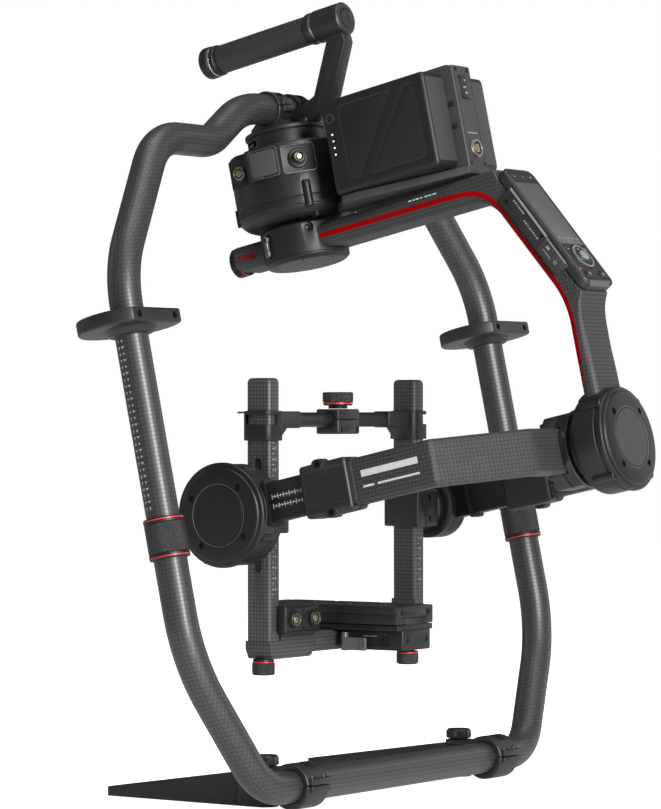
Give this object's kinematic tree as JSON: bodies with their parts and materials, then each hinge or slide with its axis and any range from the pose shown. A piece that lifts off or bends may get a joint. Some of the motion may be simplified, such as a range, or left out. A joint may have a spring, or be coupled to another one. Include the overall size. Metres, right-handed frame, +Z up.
{
  "type": "ring camera gimbal",
  "caption": "Ring-grip camera stabilizer: carbon ring with feet and top handle, motorised pan, roll and tilt arms, and a level cage with a sliding camera plate.",
  "frame": {"origin": "on the floor, at the middle of the bounding box seen from above", "axes": "+X to the operator's right, +Y forward, the way the lens looks, +Z up"},
  "size_m": [0.694, 0.4862, 0.7488],
  "materials": {
    "carbon": "square weave carbon fibre under a satin clear coat",
    "anodised": "black anodised, finely blasted",
    "satin": "satin black coat on machined metal",
    "rubber": "matt black moulded rubber",
    "plastic": "matt black moulded plastic",
    "knurl": "black anodised with diamond knurling",
    "alloy": "dark plated metal"
  },
  "bodies": {
    "ring_frame": {"ring_upper_tube": "carbon", "ring_lower_tube": "carbon", "grip_guard_left": "satin", "grip_guard_right": "satin", "top_clamp_left": "satin", "top_clamp_right": "satin", "pan_top_drum": "anodised", "pan_motor_housing": "anodised", "port_cover": "rubber", "battery_bracket": "satin", "handle_bracket": "satin", "handle_tube": "anodised", "handle_grip": "rubber", "foot_clamp_left": "satin", "foot_clamp_right": "satin"},
    "collar_left": {"lock_collar_left": "knurl"},
    "collar_right": {"lock_collar_right": "knurl"},
    "foot_left": {"foot_left": "satin"},
    "foot_right": {"foot_right": "satin"},
    "foot_knob_left": {"foot_knob_left": "knurl"},
    "foot_knob_right": {"foot_knob_right": "knurl"},
    "battery_left": {"battery_left": "plastic"},
    "battery_right": {"battery_right": "plastic"},
    "battery_button_left": {"battery_button_left": "plastic"},
    "battery_button_right": {"battery_button_right": "plastic"},
    "power_switch": {"power_switch": "plastic"},
    "pan_hub": {"pan_hub": "anodised"},
    "hub_lever": {"hub_lever": "alloy"},
    "pan_arm": {"pan_arm": "carbon", "control_panel": "plastic", "roll_motor_housing": "anodised", "roll_motor_cap": "anodised"},
    "pan_arm_knob": {"pan_arm_knob": "knurl"},
    "panel_dial": {"panel_dial": "alloy"},
    "panel_button_left": {"panel_button_left": "plastic"},
    "panel_button_right": {"panel_button_right": "plastic"},
    "panel_port_flap": {"panel_port_flap": "rubber"},
    "roll_clamp": {"roll_clamp": "satin"},
    "roll_yoke": {"roll_yoke": "carbon", "arm_clamp_left": "satin", "arm_clamp_right": "satin"},
    "extensions": {"arm_extension_left": "anodised", "arm_extension_right": "anodised", "tilt_motor_housing": "anodised", "tilt_motor_cap": "anodised", "tilt_bearing_housing": "anodised"},
    "tilt_rotors": {"tilt_rotor_left": "satin", "tilt_rotor_right": "satin"},
    "cage": {"stage_upright_left": "carbon", "stage_upright_right": "carbon", "stage_cross_member": "carbon", "plate_receiver": "anodised", "port_block": "anodised"},
    "cage_knob": {"stage_height_knob": "knurl"},
    "camera_plate": {"camera_plate": "anodised"},
    "plate_knob": {"plate_knob": "knurl"},
    "plate_lever": {"plate_lever": "alloy"},
    "crossbar": {"top_crossbar": "anodised"},
    "crossbar_slider": {"crossbar_slider": "satin"},
    "crossbar_knob": {"crossbar_knob": "knurl"}
  },
  "joints": [
    {"name": "collar_left_turn", "type": "hinge", "parent": "ring_frame", "child": "collar_left", "pos_m": [-0.3, 0.06515, 0.24729], "axis": [0, 0.211, 0.9775], "range_deg": [0, 90]},
    {"name": "foot_left_swing", "type": "hinge", "parent": "ring_frame", "child": "foot_left", "pos_m": [-0.165, 0.05431, 0], "axis": [0, 0, 1], "range_deg": [-60, 0]},
    {"name": "foot_knob_left_turn", "type": "hinge", "parent": "ring_frame", "child": "foot_knob_left", "pos_m": [-0.165, 0.05431, 0.04], "axis": [0, 0, 1], "range_deg": [-90, 90]},
    {"name": "battery_left_slide", "type": "slide", "parent": "ring_frame", "child": "battery_left", "axis": [0, 0.211, 0.9775], "range_m": [0, 0.085]},
    {"name": "battery_button_left_press", "type": "slide", "parent": "battery_left", "child": "battery_button_left", "axis": [1, 0, 0], "range_m": [0, 0.0007]},
    {"name": "collar_right_turn", "type": "hinge", "parent": "ring_frame", "child": "collar_right", "pos_m": [0.3, 0.06515, 0.24729], "axis": [0, 0.211, 0.9775], "range_deg": [0, 90]},
    {"name": "foot_right_swing", "type": "hinge", "parent": "ring_frame", "child": "foot_right", "pos_m": [0.165, 0.05431, 0], "axis": [0, 0, 1], "range_deg": [0, 60]},
    {"name": "foot_knob_right_turn", "type": "hinge", "parent": "ring_frame", "child": "foot_knob_right", "pos_m": [0.165, 0.05431, 0.04], "axis": [0, 0, 1], "range_deg": [-90, 90]},
    {"name": "battery_right_slide", "type": "slide", "parent": "ring_frame", "child": "battery_right", "axis": [0, 0.211, 0.9775], "range_m": [0, 0.085]},
    {"name": "battery_button_right_press", "type": "slide", "parent": "battery_right", "child": "battery_button_right", "axis": [-1, 0, 0], "range_m": [0, 0.0007]},
    {"name": "power_switch_rock", "type": "hinge", "parent": "ring_frame", "child": "power_switch", "pos_m": [0, -0.05391, 0.6602], "axis": [1, 0, 0], "range_deg": [-4, 4]},
    {"name": "pan", "type": "hinge", "parent": "ring_frame", "child": "pan_hub", "pos_m": [0, 0.13446, 0.56839], "axis": [0, 0.211, 0.9775], "range_deg": [-75, 75]},
    {"name": "pan_arm_slide", "type": "slide", "parent": "pan_hub", "child": "pan_arm", "axis": [0, 0.9775, -0.211], "range_m": [0, 0.02]},
    {"name": "hub_lever_turn", "type": "hinge", "parent": "pan_hub", "child": "hub_lever", "pos_m": [-0.03987, 0.14092, 0.52199], "axis": [-0.9272, 0.3662, -0.079], "range_deg": [-45, 45]},
    {"name": "pan_arm_knob_turn", "type": "hinge", "parent": "pan_arm", "child": "pan_arm_knob", "pos_m": [0, 0.19722, 0.5037], "axis": [0, 0.9775, -0.211], "range_deg": [0, 1440]},
    {"name": "panel_dial_turn", "type": "hinge", "parent": "pan_arm", "child": "panel_dial", "pos_m": [0, -0.1831, 0.49935], "axis": [0, -0.7643, 0.6449], "continuous": true},
    {"name": "panel_button_left_press", "type": "slide", "parent": "pan_arm", "child": "panel_button_left", "axis": [0, 0.7643, -0.6449], "range_m": [0, 0.0015]},
    {"name": "panel_button_right_press", "type": "slide", "parent": "pan_arm", "child": "panel_button_right", "axis": [0, 0.7643, -0.6449], "range_m": [0, 0.0015]},
    {"name": "panel_flap_turn", "type": "hinge", "parent": "pan_arm", "child": "panel_port_flap", "pos_m": [-0.0282, -0.16091, 0.49371], "axis": [0, -0.6449, -0.7643], "range_deg": [0, 90]},
    {"name": "roll", "type": "hinge", "parent": "pan_arm", "child": "roll_clamp", "pos_m": [0, -0.19098, 0.3261], "axis": [0, 0.9775, -0.211], "range_deg": [-30, 30]},
    {"name": "yoke_slide", "type": "slide", "parent": "roll_clamp", "child": "roll_yoke", "axis": [1, 0, 0], "range_m": [-0.004, 0.004]},
    {"name": "extension_slide", "type": "slide", "parent": "roll_yoke", "child": "extensions", "axis": [0, 0.9775, -0.211], "range_m": [-0.02, 0.018]},
    {"name": "tilt", "type": "hinge", "parent": "extensions", "child": "tilt_rotors", "pos_m": [0, 0.08597, 0.26459], "axis": [1, 0, 0], "range_deg": [-135, 45]},
    {"name": "cage_height", "type": "slide", "parent": "tilt_rotors", "child": "cage", "axis": [0, 0, 1], "range_m": [-0.02, 0.02]},
    {"name": "cage_knob_turn", "type": "hinge", "parent": "cage", "child": "cage_knob", "pos_m": [-0.1233, 0.08597, 0.121], "axis": [0, 0, 1], "range_deg": [-1800, 1800]},
    {"name": "plate_slide", "type": "slide", "parent": "cage", "child": "camera_plate", "axis": [0, 1, 0], "range_m": [-0.03, 0.03]},
    {"name": "plate_knob_turn", "type": "hinge", "parent": "cage", "child": "plate_knob", "pos_m": [0, 0.00731, 0.128], "axis": [0, 0, 1], "range_deg": [-360, 360]},
    {"name": "plate_lever_turn", "type": "hinge", "parent": "cage", "child": "plate_lever", "pos_m": [-0.0282, 0.05931, 0.141], "axis": [0, 0, 1], "range_deg": [-90, 0]},
    {"name": "crossbar_height", "type": "slide", "parent": "cage", "child": "crossbar", "axis": [0, 0, 1], "range_m": [-0.025, 0.02]},
    {"name": "crossbar_slider_shift", "type": "slide", "parent": "crossbar", "child": "crossbar_slider", "axis": [1, 0, 0], "range_m": [-0.04, 0.04]},
    {"name": "crossbar_knob_turn", "type": "hinge", "parent": "crossbar_slider", "child": "crossbar_knob", "pos_m": [0, 0.08597, 0.37], "axis": [0, 0, 1], "range_deg": [-180, 180]}
  ],
  "couplings": [
    {"joint": "cage_knob_turn", "follows": "cage_height", "rad_per_m": 1570.8},
    {"joint": "plate_knob_turn", "follows": "plate_slide", "rad_per_m": 209.44},
    {"joint": "pan_arm_knob_turn", "follows": "pan_arm_slide", "rad_per_m": 1256.6}
  ]
}
